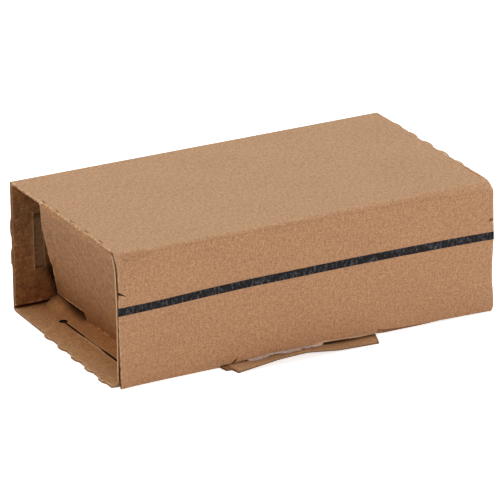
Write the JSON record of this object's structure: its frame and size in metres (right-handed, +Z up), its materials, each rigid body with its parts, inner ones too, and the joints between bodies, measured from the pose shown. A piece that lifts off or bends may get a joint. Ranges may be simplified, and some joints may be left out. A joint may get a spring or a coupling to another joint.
{
  "type": "cardboard shipping box",
  "caption": "Closed flat-lying mailing carton of thin corrugated kraft board with recessed slanting ends, wavy safety edges, a dark tear strip and a tongue under the sealed flap",
  "frame": {"origin": "centre of the bounding box at the underside, on the surface the carton lies on", "axes": "+X along the carton's length to the right, +Y from the front flap to the back wall, +Z up"},
  "size_m": [0.3102, 0.1876, 0.098],
  "materials": {
    "carton": "uncoated brown kraft liner over small flutes",
    "tear_strip": "dark woven film tape, slightly glossy",
    "adhesive_band": "clear amber hot-melt glue",
    "release_liner": "thin grey-white silicone paper, crumpled"
  },
  "bodies": {
    "root": {"carton": "carton", "tear_strip": "tear_strip", "adhesive_band": "adhesive_band", "release_liner": "release_liner"}
  },
  "joints": []
}
